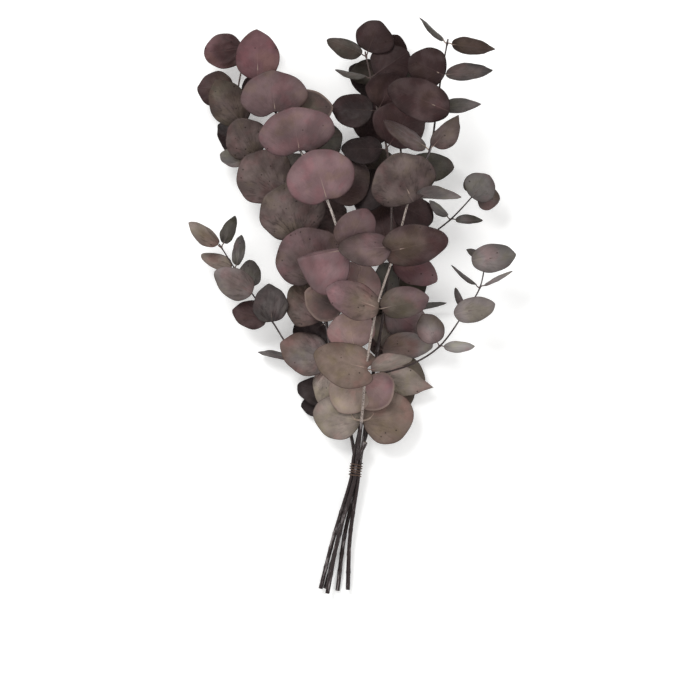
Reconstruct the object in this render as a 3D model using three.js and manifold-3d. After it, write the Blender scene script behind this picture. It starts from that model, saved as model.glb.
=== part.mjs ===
// Bunch of dried silver-dollar eucalyptus, lying on a surface.
// Millimetres. The cut ends lie at -Y and the leafy tips at +Y. +Z is up, away from the surface.
import * as THREE from 'three';
import { mergeVertices } from 'three/addons/utils/BufferGeometryUtils.js';
import Module from 'manifold-3d';

const wasm = await Module();
wasm.setup();

// Driving dimensions
const STEM_THICK = 3.8;            // woody stem at its cut end
const STEM_THIN = 1.3;             // the same stem at its tip
const TIP_LENGTH = 4;              // the bare tip of a stem past its last leaves
const TWIG_THICK = 1.8;            // side twig where it leaves its stem
const TWIG_THIN = 1.1;             // side twig at its tip
const TAPER = 0.9;                 // under 1, a stem thins faster near its tip
const STUB_THICK = 4.2;            // cut side shoot just above the tie
const FACET_MERGE = 0.005;         // facets flat to within this are joined
const STEM_SIDES = 6;
const STEM_STEP = 11;              // length of one straight facet of a stem
const BLADE = 0.8;                 // thickness of a leaf blade
const STALK = 4;                   // leaf stalk, from the stem's axis to the blade
const STALK_WIDE = 1.5;
const BLUNT = 1;                   // how far the end of a round blade stands out
const POINT_WIDE = 1;              // width of the very end of a blade
const CLEAR = 1.5;                 // least distance between the middles of two blades
const RIM_CLEAR = 2.5;             // the same, measured sideways past a blade's rim
const EGG = 0.14;                  // how much wider the base half of a blade is
const REST = BLADE / 2;            // a blade's middle when it lies on the surface
const OVER_STEM = 3.2;             // how far a blade that reaches back over its stem stands off it
const OVER_STEM_RISE = 0.25;       // and how much more for each millimetre that it reaches back
const CUP = -0.05;                 // how far a blade's rims curl up, over its width: most curl down
const CUP_SPREAD = 0.07;           // and how much that differs from leaf to leaf
const BEND = -0.03;                // how far a blade's end curls up, over its length: most curl down
const BEND_SPREAD = 0.05;
const WAVE = 0.018;                // height of the waves of its rim, over its width
const WAVE_SPREAD = 0.012;
const WAVE_TURNS = 7;              // radians of wave along a blade
const BLADE_ROWS = 6;              // steps along a large blade
const TWIG_BLADE_ROWS = 5;         // steps along a small blade
const SMALL_LEAF = 32;             // a blade shorter than this is small

// The tie and the stems that it holds together
const TIE = { x: 2, y: -143, z: 12.5 };
const TIE_LEAN = 7;                // degrees that the stems lean to +X where they are tied
const BUNDLE_RADIUS = 2.95;        // from the tie's axis to each stem's axis
const TIED_REACH = 9;              // the stems run nearly side by side this far each way
const TIED_SPREAD = 1.12;          // how much wider the bundle is there
const TIED_THICK = 3.3;            // a stem where it is tied
const WIRE = 1;
const WIRE_GAP = 0.2;              // from the stems to the wire
const WIRE_TURNS = 5;
const WIRE_PITCH = 2.3;
const WIRE_SIDES = 5;
const WIRE_STEPS_A_TURN = 14;

const WIRE_COLOR = 0x6b4a3a;
const LEAF_ROUGHNESS = 0.8;

const rad = THREE.MathUtils.degToRad;

// A repeatable draw between -1 and 1
function draw(seed) {
  const x = Math.sin(seed * 12.9898 + 4.137) * 43758.5453;
  return 2 * (x - Math.floor(x)) - 1;
}

// Where a stem passes the tie. Its place in the ring is an angle seen from the cut ends.
function tied(angle, along, spread = 1) {
  const across = BUNDLE_RADIUS * spread * Math.cos(rad(angle));
  return [
    TIE.x + along * Math.sin(rad(TIE_LEAN)) + across * Math.cos(rad(TIE_LEAN)),
    TIE.y + along * Math.cos(rad(TIE_LEAN)) - across * Math.sin(rad(TIE_LEAN)),
    TIE.z + BUNDLE_RADIUS * spread * Math.sin(rad(angle)),
  ];
}

// One stem from its cut end, through the tie, to its first leaves
function foot(end, middle, angle) {
  const before = tied(angle, -TIED_REACH, TIED_SPREAD);
  const after = tied(angle, TIED_REACH, TIED_SPREAD);
  return [end, middle, before, tied(angle, 0), after];
}

// Each stem: its foot, then its nodes. A node is a place and the leaves that grow from it.
// A leaf is [heading, rise, roll, length, width, more] in degrees and millimetres. Heading is the way
// that it points seen from above, rise lifts its tip and roll turns it round its midrib. More holds
// what only some leaves have: fold bends both halves up or, if minus, down from the midrib; left or
// right is that half's width over the other's; back is how far the blade reaches behind its stalk's
// end, over the stem, or under it where under is set; tip is how far its point stands out; lies marks
// a blade whose end lies on the surface.
const STEMS = [
  {
    name: 'right_front_stem',
    color: 0x8d8079,
    foot: foot([-23, -252, 9.6], [-13.5, -203, 12.4], 90),
    nodes: [
      { at: [7, -100, 25], leaves: [[170, -3, 0, 42, 40, { back: 4, under: true }],
        [16, -1, 0, 45, 48, { back: 3, under: true }]] },
      { at: [11, -56, 47], leaves: [[167, 12, 22, 56, 42, { back: 11 }], [11, 4, 66, 36, 34]] },
      { at: [20, -3, 60], leaves: [[159, 14, 22, 50, 34, { back: 5 }], [11, 10, 35, 42, 34]] },
      { at: [37, 51, 69], leaves: [[182, 8, 30, 46, 34], [12, 10, 22, 57, 38, { back: 15 }]] },
      { at: [49, 95, 73], leaves: [[116, 18, 0, 46, 57, { back: 9 }], [-2, 5, 74, 39, 34]] },
      { at: [66, 135, 74], leaves: [[148, 10, 62, 43, 34], [48, 15, 40, 32, 25, { fold: 18, tip: 3 }]] },
      { at: [72, 172, 74], leaves: [[158, 14, 0, 58, 35, { back: 14 }], [3, -6, 40, 31, 16, { tip: 4 }]] },
      { at: [76, 200, 73], leaves: [[155, 12, 0, 34, 36, { back: 6 }], [4, 5, 64, 38, 30, { tip: 3 }]] },
      { at: [81, 227, 72], leaves: [[139, 10, 70, 26, 18, { tip: 3 }], [-9, 5, 52, 34, 22, { tip: 4 }]] },
    ],
    stub: [[3.2, -134, 15.8], [10.5, -119, 19.5]],
  },
  {
    name: 'left_front_stem',
    color: 0x8a6c6b,
    foot: foot([-29, -248, 6.4], [-17.5, -203, 8.4], 162),
    nodes: [
      { at: [6, -104, 13], leaves: [] },
      { at: [6, -62, 30], leaves: [[230, -3, 0, 31, 38], [330, -11, 0, 30, 38]] },
      { at: [1, -38, 35], leaves: [[100, 20, 0, 34, 42, { back: 2 }]] },
      { at: [-6, -5, 44], leaves: [[72, 6, 0, 42, 46], [148, -10, 10, 36, 34]] },
      { at: [-9, 45, 57], leaves: [[189, 4, 38, 45, 58, { fold: -38, right: 0.4, back: 9 }],
        [62, 8, 0, 40, 40]] },
      { at: [-23, 92, 60], leaves: [[106, 16, 0, 48, 60, { back: 5 }], [42, -25, 0, 46, 40]] },
      { at: [-47, 136, 60], leaves: [[100, 28, 0, 45, 66, { back: 7 }], [22, -30, 0, 42, 40]] },
      { at: [-68, 169, 58], leaves: [[95, 20, 0, 40, 58, { back: 7 }], [4, -8, 10, 46, 36]] },
      { at: [-83, 202, 55], leaves: [[91, 14, 0, 42, 38, { fold: 8, tip: 2, back: 8 }], [280, -20, 0, 26, 26]] },
    ],
  },
  {
    name: 'left_back_stem',
    color: 0x625451,
    foot: foot([-25, -248, 2.0], [-13, -203, 4.6], 234),
    nodes: [
      { at: [-9, -82, 13], leaves: [[162, -4, 10, 38, 26], [188, -10, 9, 34, 28]] },
      { at: [-18, -49, 18], leaves: [[159, 2, 9, 44, 39], [262, -5, 0, 36, 30]] },
      { at: [-24, -14, 24], leaves: [[134, 10, 0, 39, 42], [212, -40, 0, 44, 36, { lies: true }]] },
      { at: [-33, 28, 28], leaves: [[112, 12, 0, 49, 60, { back: 9 }], [66, -14, 0, 46, 44]] },
      { at: [-50, 67, 30], leaves: [[103, 14, 0, 50, 58, { back: 10 }], [22, -10, 0, 44, 40]] },
      { at: [-66, 99, 30], leaves: [[130, 10, 0, 44, 51, { back: 5 }], [42, -20, 0, 44, 42]] },
      { at: [-84, 128, 29], leaves: [[118, 5, 0, 37, 38], [170, -12, 36, 30, 24]] },
      { at: [-96, 156, 27], leaves: [[122, 8, 10, 44, 35], [225, -48, 0, 40, 36, { lies: true }]] },
      { at: [-101, 187, 26], leaves: [[172, 2, 0, 31, 32], [15, -12, 0, 32, 24]] },
      { at: [-93, 226, 25], leaves: [[188, 5, 0, 34, 31], [2, -12, 0, 20, 18]] },
    ],
    twigs: [{
      from: 1,
      nodes: [
        { at: [-45, -48, 11], leaves: [[165, 0, 72, 35, 20]] },
        { at: [-72, -12, 26], leaves: [[94, 5, 0, 33, 31, { back: 5 }], [165, 5, 0, 30, 25]] },
        { at: [-90, 13, 32], leaves: [[150, 5, 0, 37, 27, { back: 6 }], [92, 5, 0, 23, 20]] },
        { at: [-103, 32, 36], leaves: [[156, 5, 38, 30, 16], [78, 5, 30, 26, 16]] },
        { at: [-115, 51, 39], leaves: [[142, 5, 30, 31, 17], [66, 5, 38, 25, 15]] },
      ],
    }],
  },
  {
    name: 'right_back_stem',
    color: 0x453839,
    foot: foot([-5, -249, 5.2], [-3, -203, 7.6], 18),
    nodes: [
      { at: [17, -61, 17], leaves: [[-11, 1, 10, 42, 28, { tip: 8 }]] },
      { at: [21, -38, 26], leaves: [[62, 0, 20, 34, 30], [6, -2, 40, 44, 32]] },
      { at: [27, 1, 37], leaves: [[84, -16, 50, 36, 30], [-42, -10, 0, 44, 34]] },
      { at: [32, 44, 41], leaves: [[104, -20, 0, 46, 40], [-31, -4, 25, 42, 30]] },
      { at: [33, 92, 43], leaves: [[152, -8, 0, 40, 40], [-27, -14, 0, 36, 34]] },
      { at: [29, 137, 43], leaves: [[180, -4, 38, 35, 32], [58, 8, 0, 42, 52]] },
      { at: [21, 170, 43], leaves: [[175, -4, 18, 36, 32], [62, 8, 0, 32, 40]] },
      { at: [15, 199, 43], leaves: [[166, 0, 72, 27, 22], [41, 6, 0, 35, 36]] },
      { at: [11, 218, 42], leaves: [[155, 0, 45, 32, 24], [68, 8, -9, 28, 36]] },
    ],
    twigs: [{
      from: 0,
      nodes: [
        { at: [52, -50, 34], leaves: [] },
        { at: [75, -35, 38], leaves: [[118, 5, 0, 27, 24], [-2, 0, 52, 26, 16]] },
        { at: [97, -5, 43], leaves: [[14, 5, 0, 36, 22, { back: 13 }], [112, 0, 50, 18, 10]] },
        { at: [110, 16, 46], leaves: [[141, 0, 74, 27, 14], [28, 0, 74, 27, 14]] },
        { at: [115, 41, 48], leaves: [[8, 4, 0, 38, 25, { back: 16 }], [152, 0, 40, 14, 9]] },
      ],
    }],
  },
  {
    name: 'centre_back_stem',
    color: 0x57504a,
    foot: foot([-14, -250, 2.0], [-8, -203, 4.4], 306),
    nodes: [
      { at: [17, -92, 10], leaves: [[34, 4, 0, 38, 32]] },
      { at: [26, -50, 13], leaves: [[-28, 6, 0, 36, 34], [80, 10, 0, 40, 34]] },
      { at: [35, -2, 14], leaves: [[4, 14, 80, 42, 18], [205, -6, 0, 40, 38]] },
      { at: [42, 43, 15], leaves: [[-80, -22, 0, 44, 38, { lies: true }], [130, 10, 0, 42, 40]] },
      { at: [45, 85, 16], leaves: [[-25, 12, 0, 22, 30], [165, 14, 0, 42, 40]] },
      { at: [43, 122, 17], leaves: [[0, 10, 0, 41, 26], [185, 12, 0, 42, 38]] },
      { at: [39, 155, 18], leaves: [[62, -34, 0, 42, 36, { lies: true }], [150, 12, 0, 38, 36]] },
      { at: [34, 184, 21], leaves: [[144, 8, 0, 41, 30], [72, 12, 0, 34, 32]] },
      { at: [28, 208, 24], leaves: [[70, 8, 0, 27, 27], [190, 4, 20, 27, 23]] },
    ],
    twigs: [{
      from: 3,
      nodes: [
        { at: [64, 60, 24], leaves: [] },
        { at: [85, 76, 29], leaves: [[137, 0, 50, 20, 13], [-2, 0, 54, 23, 13]] },
        { at: [104, 96, 34], leaves: [[50, 5, 0, 24, 29, { back: 5 }], [-5, -12, 0, 20, 22],
          [100, -5, 0, 14, 13]] },
      ],
    }],
  },
];

// The smooth line through a list of places
function curveThrough(places) {
  return new THREE.CatmullRomCurve3(places.map((p) => new THREE.Vector3(...p)), false, 'centripetal');
}

// The places that a stem's or twig's line runs through, tip bud included
function places(start, nodes) {
  const last = nodes.at(-1).at;
  const before = (nodes.at(-2) ?? { at: start.at(-1) }).at;
  const way = new THREE.Vector3(...last).sub(new THREE.Vector3(...before)).setLength(TIP_LENGTH);
  const tip = [last[0] + way.x, last[1] + way.y, last[2] + way.z];
  return [...start, ...nodes.map((node) => node.at), tip];
}

// A leaf's frame in space: where its stalk starts, the way it points, its left side and its face
function pose(place, [heading, rise, roll, length, width, more = {}], seed) {
  const { fold = 0, left = 1, right = 1, back = 0, under = false, tip = BLUNT, lies = false } = more;
  const h = rad(heading);
  const e = rad(rise);
  const r = rad(roll);
  const along = new THREE.Vector3(Math.cos(e) * Math.cos(h), Math.cos(e) * Math.sin(h), Math.sin(e));
  const level = new THREE.Vector3(-Math.sin(h), Math.cos(h), 0);
  const upright = new THREE.Vector3().crossVectors(along, level);
  const side = level.clone().multiplyScalar(Math.cos(r)).addScaledVector(upright, Math.sin(r));
  const face = new THREE.Vector3().crossVectors(along, side);
  const node = new THREE.Vector3(...place);
  const at = node.clone();
  const clear = (OVER_STEM + back * OVER_STEM_RISE) * (under ? -1 : 1);
  if (back > 0) at.addScaledVector(along, -back).addScaledVector(face, clear);
  return {
    node, at, along, side, face, length, width, left, right, back, tip, lies,
    fold: Math.tan(rad(fold)),
    cup: CUP + CUP_SPREAD * draw(seed + 0.1),
    bend: BEND + BEND_SPREAD * draw(seed + 0.2),
    wave: WAVE + WAVE_SPREAD * draw(seed + 0.3),
    phase: Math.PI * draw(seed + 0.4),
  };
}

// Half the width of a blade at an angle that runs from 0 at its base to 180 degrees at its tip.
// The way is 1 on the blade's left side and -1 on its right side.
function halfWidth(leaf, angle, way) {
  return leaf.width / 2 * Math.sin(angle) * (1 + EGG * Math.cos(angle)) * (way > 0 ? leaf.left : leaf.right);
}

// How far the blade's middle stands off its frame's plane
function height(leaf, u, v) {
  const t = u / leaf.length;
  const across = v / (leaf.width / 2);
  return leaf.cup * leaf.width * across * across
    + leaf.bend * leaf.length * t * t
    + leaf.fold * Math.abs(v)
    + leaf.wave * leaf.width * across * across * Math.sin(WAVE_TURNS * t + leaf.phase + 2 * Math.sign(v));
}

// A point of the blade's middle: u along from the blade's base, v to its left side
function bladePoint(leaf, u, v) {
  const point = leaf.at.clone()
    .addScaledVector(leaf.along, STALK + u)
    .addScaledVector(leaf.side, v)
    .addScaledVector(leaf.face, height(leaf, Math.max(u, 0), v));
  if (leaf.lies) point.z = Math.max(point.z, REST);
  return point;
}

// Sample points all over a blade, for finding what it would cross
const SAMPLE_ROWS = 12;
const SAMPLE_COLUMNS = 8;
function samples(leaf) {
  const list = [];
  for (let i = 0; i <= SAMPLE_ROWS; i += 1) {
    const angle = Math.PI * i / SAMPLE_ROWS;
    const u = leaf.length / 2 * (1 - Math.cos(angle));
    for (let j = 0; j <= SAMPLE_COLUMNS; j += 1) {
      const across = 2 * j / SAMPLE_COLUMNS - 1;
      const v = halfWidth(leaf, angle, across) * across;
      list.push(bladePoint(leaf, u, v));
    }
  }
  return list;
}

// True where the points pass through or too near the blade: some above it and some below it
function crosses(points, leaf, clear) {
  let above = false;
  let below = false;
  const offset = new THREE.Vector3();
  for (const point of points) {
    offset.subVectors(point, leaf.at);
    const u = offset.dot(leaf.along) - STALK;
    const v = offset.dot(leaf.side);
    if (u < -RIM_CLEAR || u > leaf.length + RIM_CLEAR) continue;
    const onBlade = Math.min(Math.max(u, 0), leaf.length);
    const angle = Math.acos(1 - 2 * onBlade / leaf.length);
    const half = halfWidth(leaf, angle, v) + RIM_CLEAR;
    if (Math.abs(v) > half) continue;
    const off = offset.dot(leaf.face) - height(leaf, onBlade, v);
    above ||= off > -clear;
    below ||= off < clear;
    if (above && below) return true;
  }
  return false;
}

// The turns that a leaf may take to grow clear of the rest: change of rise, roll and heading
const RISES = [0, 5, -5, 10, -10, 16, -16, 24, -24, 32];
const ROLLS = [0, 9, -9, 18, -18, 30, -30];
const SWINGS = [0, 7, -7, 15, -15];
const RISE_UNIT = 5;               // degrees of each turn that count as one
const ROLL_UNIT = 9;
const SWING_UNIT = 6;
const TURNS = RISES.flatMap((rise) => ROLLS.flatMap((roll) => SWINGS.map((swing) => [rise, roll, swing])))
  .map((turn) => ({
    turn,
    cost: Math.abs(turn[0]) / RISE_UNIT + Math.abs(turn[1]) / ROLL_UNIT + Math.abs(turn[2]) / SWING_UNIT,
  }))
  .sort((a, b) => a.cost - b.cost || a.turn[0] - b.turn[0] || a.turn[1] - b.turn[1] || a.turn[2] - b.turn[2]);

// What a leaf's faults count for, against the turns that would avoid them
const BELOW_SURFACE = 200;
const CROSSES_OTHER_STEM = 200;
const CROSSES_OWN_STEM = 30;
const NEAR_BASE = 9;               // leaves of one node may come together this near to it
const STEM_SAMPLE = 3;             // distance between a stem's sample points
const STEM_REACH = 4;              // how far past a blade's own reach a stem may matter

// How badly a posed leaf fits among the leaves and stems that are already there
function trouble(leaf, placed, lines) {
  const points = samples(leaf);
  let total = 0;
  if (points.some((point) => point.z < REST)) total += BELOW_SURFACE;
  for (const other of placed) {
    const apart = other.centre.distanceTo(leaf.centre);
    if (apart > other.reach + leaf.reach) continue;
    const sameNode = other.node.distanceTo(leaf.node) < 1;
    const near = NEAR_BASE + Math.max(leaf.back, other.back);
    const mine = sameNode ? points.filter((p) => p.distanceTo(leaf.node) > near) : points;
    const theirs = sameNode ? other.points.filter((p) => p.distanceTo(leaf.node) > near) : other.points;
    if (crosses(mine, other, CLEAR) || crosses(theirs, leaf, CLEAR)) {
      total += other.stem === leaf.stem ? CROSSES_OWN_STEM : CROSSES_OTHER_STEM;
    }
  }
  for (const line of lines) {
    const own = line.stem === leaf.stem;
    const near = line.points.filter((p) => p.distanceTo(leaf.centre) < leaf.reach + STEM_REACH
      && (!own || p.distanceTo(leaf.node) > NEAR_BASE + leaf.back));
    if (crosses(near, leaf, CLEAR + line.radius)) total += own ? CROSSES_OWN_STEM : CROSSES_OTHER_STEM;
  }
  return total;
}

// The pose that fits best, with the least turning
function settle(at, row, seed, stem, placed, lines) {
  let best = null;
  for (const { turn, cost } of TURNS) {
    if (best && cost >= best.cost) break;
    const [heading, rise, roll, ...rest] = row;
    const leaf = pose(at, [heading + turn[2], rise + turn[0], roll + turn[1], ...rest], seed);
    leaf.stem = stem;
    leaf.centre = bladePoint(leaf, leaf.length / 2, 0);
    leaf.reach = Math.hypot(leaf.length, leaf.width) / 2 + RIM_CLEAR;
    const full = cost + trouble(leaf, placed, lines);
    if (!best || full < best.cost) best = { leaf, cost: full };
  }
  best.leaf.points = samples(best.leaf);
  return best.leaf;
}

// A closed manifold solid from positions and triangles
function solidOf(geometry) {
  geometry.deleteAttribute('normal');
  geometry.deleteAttribute('uv');
  const merged = mergeVertices(geometry, 1e-5);
  return new wasm.Manifold(new wasm.Mesh({
    numProp: 3,
    vertProperties: Float32Array.from(merged.attributes.position.array),
    triVerts: Uint32Array.from(merged.index.array),
  }));
}

// A round section with few sides
function polygon(radius, sides) {
  const corners = [];
  for (let i = 0; i < sides; i += 1) {
    const angle = 2 * Math.PI * i / sides;
    corners.push(new THREE.Vector2(radius * Math.cos(angle), radius * Math.sin(angle)));
  }
  return new THREE.Shape(corners);
}

// A stem or twig: a tube along its line, drawn in toward the line as it gets thinner
function tube(line) {
  const { curve, thick, thin } = line;
  const steps = Math.max(2, Math.round(curve.getLength() / STEM_STEP));
  const section = polygon(thick / 2, STEM_SIDES);
  const geometry = new THREE.ExtrudeGeometry(section, { steps, bevelEnabled: false, extrudePath: curve });
  const stations = curve.getSpacedPoints(steps);
  const position = geometry.attributes.position;
  const point = new THREE.Vector3();
  for (let i = 0; i < position.count; i += 1) {
    point.fromBufferAttribute(position, i);
    let nearest = 0;
    stations.forEach((station, k) => {
      if (station.distanceToSquared(point) < stations[nearest].distanceToSquared(point)) nearest = k;
    });
    const scale = (thin + (thick - thin) * (1 - nearest / steps) ** TAPER) / thick;
    point.sub(stations[nearest]).multiplyScalar(scale).add(stations[nearest]);
    position.setXYZ(i, point.x, point.y, point.z);
  }
  return solidOf(geometry);
}

const UP = new THREE.Vector3(0, 0, 1);

// One leaf: its stalk sunk into the stem, then its thin blade, as one closed shell
function leafSolid(leaf) {
  const rows = leaf.length < SMALL_LEAF ? TWIG_BLADE_ROWS : BLADE_ROWS;
  const stations = [[0, STALK_WIDE / 2, STALK_WIDE / 2]];
  if (leaf.back === 0) stations.unshift([-STALK, STALK_WIDE / 2, STALK_WIDE / 2]);
  for (let i = 1; i < rows; i += 1) {
    const angle = Math.PI * i / rows;
    const u = leaf.length / 2 * (1 - Math.cos(angle));
    stations.push([u, halfWidth(leaf, angle, -1), halfWidth(leaf, angle, 1)]);
  }
  stations.push([leaf.length + leaf.tip, POINT_WIDE / 2, POINT_WIDE / 2]);
  const positions = [];
  const columns = 3;
  for (const [u, right, left] of stations) {
    for (const v of [-right, 0, left]) {
      const middle = bladePoint(leaf, u, v);
      const outward = middle.z > REST ? leaf.face : UP;
      for (const way of [1, -1]) {
        const point = middle.clone().addScaledVector(outward, way * BLADE / 2);
        positions.push(point.x, point.y, point.z);
      }
    }
  }
  const index = [];
  const vertex = (i, j, under) => (i * columns + j) * 2 + under;
  const quad = (a, b, c, d) => index.push(a, b, c, a, c, d);
  for (let i = 0; i < stations.length - 1; i += 1) {
    for (let j = 0; j < columns - 1; j += 1) {
      quad(vertex(i, j, 0), vertex(i + 1, j, 0), vertex(i + 1, j + 1, 0), vertex(i, j + 1, 0));
      quad(vertex(i, j, 1), vertex(i, j + 1, 1), vertex(i + 1, j + 1, 1), vertex(i + 1, j, 1));
    }
    quad(vertex(i, 0, 0), vertex(i, 0, 1), vertex(i + 1, 0, 1), vertex(i + 1, 0, 0));
    quad(vertex(i, 2, 0), vertex(i + 1, 2, 0), vertex(i + 1, 2, 1), vertex(i, 2, 1));
  }
  const end = stations.length - 1;
  for (let j = 0; j < columns - 1; j += 1) {
    quad(vertex(0, j, 0), vertex(0, j + 1, 0), vertex(0, j + 1, 1), vertex(0, j, 1));
    quad(vertex(end, j, 0), vertex(end, j, 1), vertex(end, j + 1, 1), vertex(end, j + 1, 0));
  }
  const geometry = new THREE.BufferGeometry();
  geometry.setAttribute('position', new THREE.Float32BufferAttribute(positions, 3));
  geometry.setIndex(index);
  return solidOf(geometry);
}

// The stalk of a blade that reaches back over its stem, from the stem's axis up into the blade
function stalkSolid(leaf) {
  const end = bladePoint(leaf, leaf.back, 0);
  const way = end.clone().sub(leaf.node);
  const stalk = new THREE.CylinderGeometry(STALK_WIDE / 2, STALK_WIDE / 2, way.length(), STEM_SIDES);
  stalk.translate(0, way.length() / 2, 0);
  const turn = new THREE.Quaternion().setFromUnitVectors(new THREE.Vector3(0, 1, 0), way.normalize());
  stalk.applyQuaternion(turn);
  stalk.translate(leaf.node.x, leaf.node.y, leaf.node.z);
  return solidOf(stalk);
}

// Every stem's and twig's line, for the leaves to keep clear of
function stemLines() {
  const lines = [];
  const add = (stem, route, thick, thin) => {
    const curve = curveThrough(route);
    const points = curve.getSpacedPoints(Math.round(curve.getLength() / STEM_SAMPLE));
    lines.push({ stem: stem.name, curve, points, thick, thin, radius: thick / 2 });
  };
  for (const stem of STEMS) {
    add(stem, places(stem.foot, stem.nodes), STEM_THICK, STEM_THIN);
    for (const twig of stem.twigs ?? []) {
      add(stem, places([stem.nodes[twig.from].at], twig.nodes), TWIG_THICK, TWIG_THIN);
    }
    if (stem.stub) add(stem, stem.stub, STUB_THICK, STUB_THICK);
  }
  return lines;
}

// All leaves, from the front stem back, each settled among those before it
function growLeaves(lines) {
  const placed = [];
  let seed = 1;
  for (const stem of STEMS) {
    const nodes = [...stem.nodes, ...(stem.twigs ?? []).flatMap((twig) => twig.nodes)];
    for (const node of nodes) {
      for (const row of node.leaves) {
        placed.push(settle(node.at, row, seed, stem.name, placed, lines));
        seed += 1;
      }
    }
  }
  return placed;
}

function meshOf(name, solid, color, roughness, metalness) {
  const mesh = solid.getMesh();
  const geometry = new THREE.BufferGeometry();
  geometry.setAttribute('position', new THREE.Float32BufferAttribute(mesh.vertProperties, 3));
  geometry.setIndex([...mesh.triVerts]);
  geometry.computeVertexNormals();
  const material = new THREE.MeshStandardMaterial({ color, roughness, metalness });
  const node = new THREE.Mesh(geometry, material);
  node.name = name;
  return node;
}

// The wire wound round the five stems
function tie() {
  const radius = BUNDLE_RADIUS + TIED_THICK / 2 + WIRE_GAP + WIRE / 2;
  const lean = rad(TIE_LEAN);
  const coil = new THREE.Curve();
  coil.getPoint = (t, target = new THREE.Vector3()) => {
    const angle = 2 * Math.PI * WIRE_TURNS * t;
    const along = WIRE_PITCH * WIRE_TURNS * (t - 0.5);
    const across = radius * Math.cos(angle);
    return target.set(
      TIE.x + along * Math.sin(lean) + across * Math.cos(lean),
      TIE.y + along * Math.cos(lean) - across * Math.sin(lean),
      TIE.z + radius * Math.sin(angle),
    );
  };
  const geometry = new THREE.ExtrudeGeometry(polygon(WIRE / 2, WIRE_SIDES), {
    steps: WIRE_TURNS * WIRE_STEPS_A_TURN,
    bevelEnabled: false,
    extrudePath: coil,
  });
  return meshOf('tie', solidOf(geometry), WIRE_COLOR, 0.5, 0.6);
}

const group = new THREE.Group();
const lines = stemLines();
const leaves = growLeaves(lines);
for (const stem of STEMS) {
  const tubes = lines.filter((line) => line.stem === stem.name)
    .map(tube);
  const own = leaves.filter((leaf) => leaf.stem === stem.name);
  const blades = own.map(leafSolid);
  const stalks = own.filter((leaf) => leaf.back > 0).map(stalkSolid);
  const grown = wasm.Manifold.union([...tubes, ...blades, ...stalks]).asOriginal().simplify(FACET_MERGE);
  group.add(meshOf(stem.name, grown, stem.color, LEAF_ROUGHNESS, 0));
}
group.add(tie());

// The origin is under the middle of the bunch, on the surface that it lies on
const box = new THREE.Box3().setFromObject(group);
group.position.set(-(box.min.x + box.max.x) / 2, -(box.min.y + box.max.y) / 2, -box.min.z);

export default group;
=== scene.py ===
import math
from types import SimpleNamespace

import bpy
import numpy as np
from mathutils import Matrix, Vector


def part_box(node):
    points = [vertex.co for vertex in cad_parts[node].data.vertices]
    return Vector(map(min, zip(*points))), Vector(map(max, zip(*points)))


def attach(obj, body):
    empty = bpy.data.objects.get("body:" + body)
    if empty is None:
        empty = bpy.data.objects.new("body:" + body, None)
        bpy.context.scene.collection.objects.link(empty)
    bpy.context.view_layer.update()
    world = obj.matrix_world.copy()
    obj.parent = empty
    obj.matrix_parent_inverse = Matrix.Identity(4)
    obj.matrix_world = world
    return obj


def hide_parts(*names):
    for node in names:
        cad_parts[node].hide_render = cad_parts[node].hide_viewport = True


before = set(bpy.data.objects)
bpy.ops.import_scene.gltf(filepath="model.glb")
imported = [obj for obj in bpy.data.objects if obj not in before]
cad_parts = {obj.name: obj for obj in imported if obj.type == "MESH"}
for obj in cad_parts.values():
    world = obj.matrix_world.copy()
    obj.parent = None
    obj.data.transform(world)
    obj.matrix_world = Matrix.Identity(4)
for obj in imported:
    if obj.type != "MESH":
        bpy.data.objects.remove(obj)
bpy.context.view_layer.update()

# The wire tie
# One length of thin lacquered copper-brown wire, wound five times round the stems a little below the
# leaves. The bunch is laid out round it in millimetres, as in the part's source, so its place in the
# frame also gives the layout's place.
MM = 0.001
TIE = np.array((2.0, -143.0, 12.5))
TIE_LEAN = math.radians(7)  # the stems lean to +X where they are tied
BUNDLE_RADIUS = 2.95  # from the tie's axis to each stem's axis
TIED_THICK = 3.3  # a stem where it is tied
WIRE = 1.0
WIRE_GAP = 0.2
WIRE_TURNS = 5
WIRE_PITCH = 2.3
WIRE_STRAY = 0.3  # how far the hand-wound turns stray along the bundle
WIRE_STRAY_RATE = 1.7  # how often they do so, over the turns
WIRE_STEPS_A_TURN = 40
WIRE_SIDES = 10
WIRE_COLOUR = (86, 68, 58)
WIRE_GLINT = (107.5, 85, 72.5)  # painted glints, a lighter copy of its colour, where its lacquer is worn


def linear(colour):
    """A colour given as 0 to 255, as a shader's own numbers."""
    return tuple((c / 255) ** 2.2 for c in colour) + (1.0,)


def about_tie(along, across, up):
    """A place given from the tie's middle: along the bundle, across it and up."""
    sine, cosine = math.sin(TIE_LEAN), math.cos(TIE_LEAN)
    return TIE + np.array((along * sine + across * cosine, along * cosine - across * sine, up))


def coil_line(stray=0.0):
    """The middle of the wire, from its first turn to its last."""
    radius = BUNDLE_RADIUS + TIED_THICK / 2 + WIRE_GAP + WIRE / 2
    points = []
    for k in range(WIRE_TURNS * WIRE_STEPS_A_TURN + 1):
        turns = k / WIRE_STEPS_A_TURN
        angle = 2 * math.pi * turns
        along = WIRE_PITCH * (turns - WIRE_TURNS / 2) + stray * math.sin(WIRE_STRAY_RATE * angle)
        points.append(about_tie(along, radius * math.cos(angle), radius * math.sin(angle)))
    return np.array(points)


coil = coil_line()
tie_low, tie_high = (np.array(corner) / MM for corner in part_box("tie"))
ORIGIN = (tie_low + tie_high) / 2 - (coil.min(axis=0) + coil.max(axis=0)) / 2
ORIGIN[2] = 0.0  # the layout already stands on the surface


def new_object(name, data):
    """An object in the scene."""
    made = bpy.data.objects.new(name, data)
    bpy.context.scene.collection.objects.link(made)
    return made


VALUE_KINDS = {1: ("FLOAT", "value"), 3: ("FLOAT_VECTOR", "vector"), 4: ("FLOAT_COLOR", "color")}


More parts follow.
